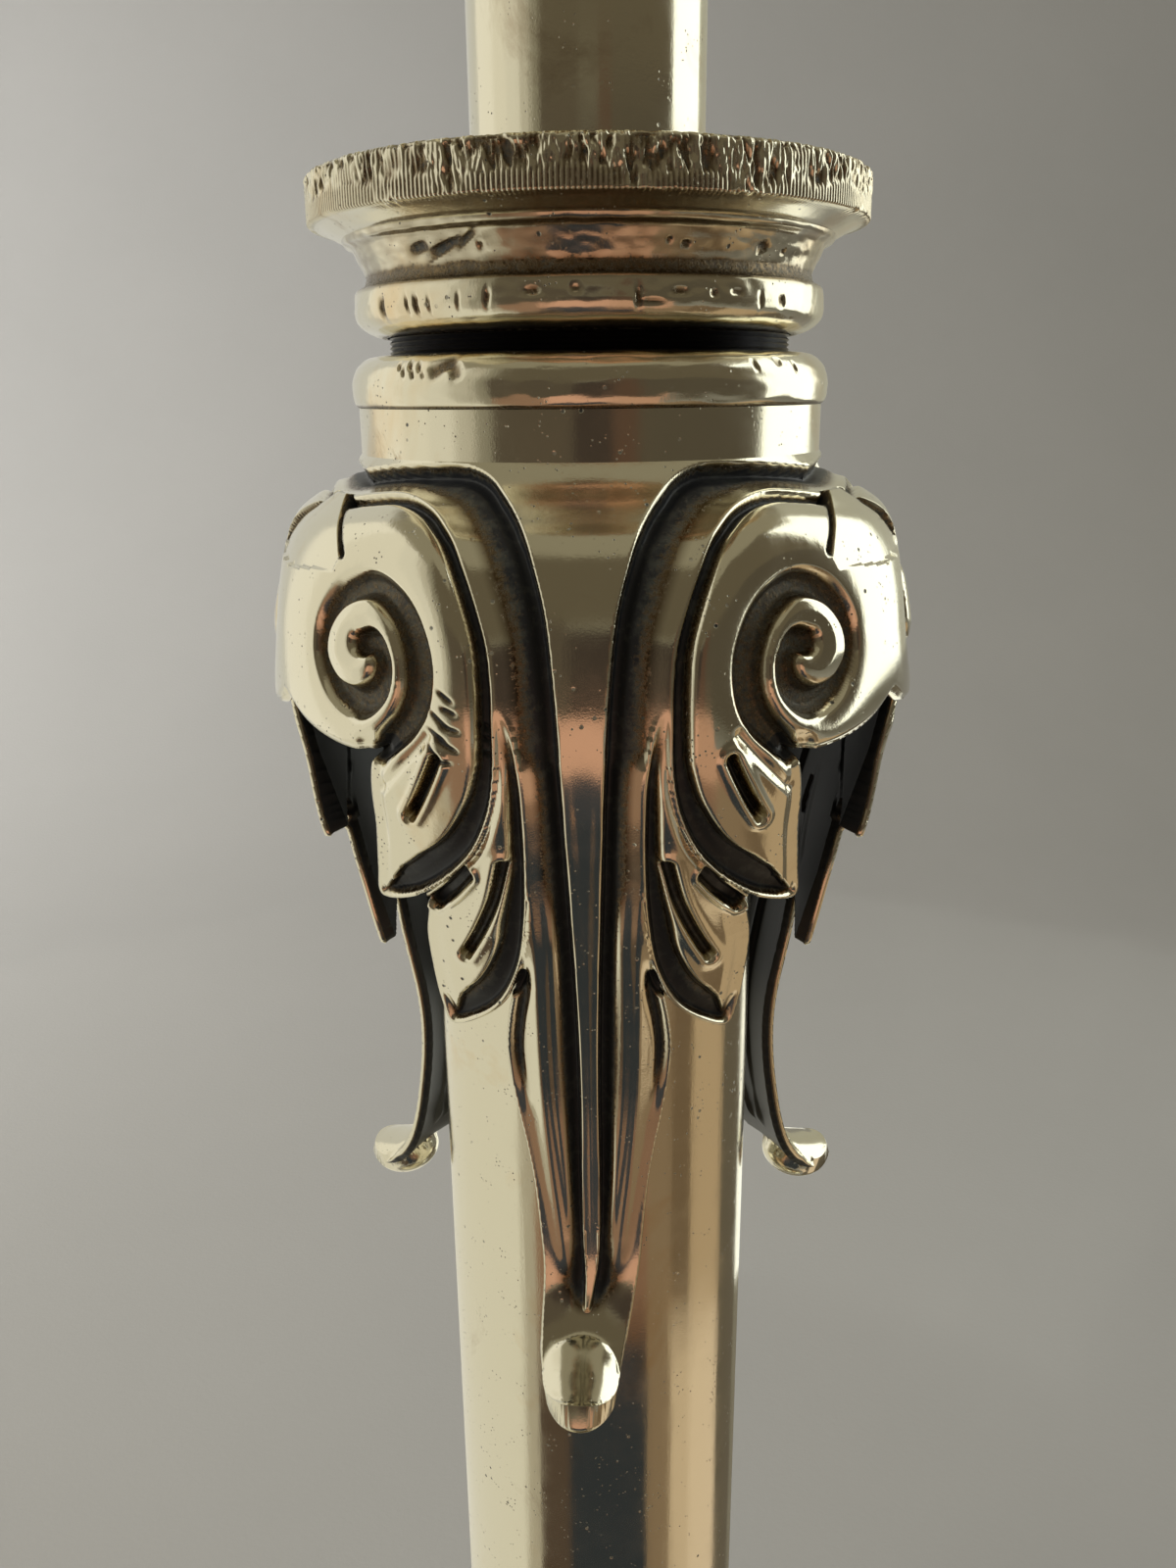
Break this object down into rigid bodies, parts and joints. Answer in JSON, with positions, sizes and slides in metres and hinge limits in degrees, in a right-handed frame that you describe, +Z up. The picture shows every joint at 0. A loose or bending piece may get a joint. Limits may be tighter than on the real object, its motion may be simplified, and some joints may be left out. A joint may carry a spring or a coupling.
{
  "type": "telescopic candlestick",
  "caption": "Height-adjustable plated candlestick: round weighted foot, plain column, scrolled-leaf capital, milled clamp nut and a sliding tube carrying a drip pan and candle socket.",
  "frame": {"origin": "centre of the foot's underside, on the surface the candlestick stands on", "axes": "+Z up along the column and tube; -Y is the side of the front leaf of the capital"},
  "size_m": [0.3, 0.3, 0.8192],
  "materials": {
    "silver_plate": "polished silver plate over brass, hand-worn, a little tarnish",
    "cast_plate": "polished cast brass, silver plated, blue-black patina left in the grooves",
    "worn_plate": "turned brass, silver plate rubbed through, plier marks and nicks",
    "dark_thread": "blackened fine thread",
    "bare_brass": "plain turned brass",
    "steel": "plain steel fastenings",
    "iron": "raw casting",
    "felt": "green felt"
  },
  "bodies": {
    "stand": {"felt_pad": "felt", "base_plate": "steel", "plate_screws": "steel", "base_weight": "iron", "foot_rim": "silver_plate", "foot_shell": "silver_plate", "column_socket": "silver_plate", "lower_column": "silver_plate", "column_plug": "bare_brass", "draw_stud": "steel", "draw_washer": "steel", "draw_nut": "steel", "seat_ring": "bare_brass", "capital": "cast_plate", "neck_band": "worn_plate", "collar_ring": "worn_plate", "thread_sleeve": "dark_thread", "upper_bush": "bare_brass", "split_collet": "bare_brass"},
    "thrust": {"thrust_ring": "bare_brass"},
    "nut": {"clamp_nut": "worn_plate", "milled_flange": "worn_plate"},
    "guide": {"guide_bush": "bare_brass"},
    "mast": {"sliding_tube": "silver_plate", "upper_clip": "steel", "lower_clip": "steel", "tube_ferrule": "silver_plate", "drip_pan": "silver_plate", "candle_socket": "silver_plate", "socket_screw": "steel"},
    "nozzle": {"loose_nozzle": "silver_plate"}
  },
  "joints": [
    {"name": "thrust_slide", "type": "slide", "parent": "stand", "child": "thrust", "axis": [0, 0, 1], "range_m": [0, 0.003]},
    {"name": "nut_turn", "type": "hinge", "parent": "thrust", "child": "nut", "pos_m": [0, 0, 0.6], "axis": [0, 0, 1], "range_deg": [0, 1080]},
    {"name": "tube_slide", "type": "slide", "parent": "stand", "child": "guide", "axis": [0, 0, 1], "range_m": [-0.105, 0.151]},
    {"name": "tube_turn", "type": "hinge", "parent": "guide", "child": "mast", "pos_m": [0, 0, 0.6], "axis": [0, 0, 1], "continuous": true},
    {"name": "nozzle_lift", "type": "slide", "parent": "mast", "child": "nozzle", "axis": [0, 0, 1], "range_m": [0, 0.05]}
  ],
  "couplings": [
    {"joint": "thrust_slide", "follows": "nut_turn", "m_per_rad": 0.00015597}
  ]
}
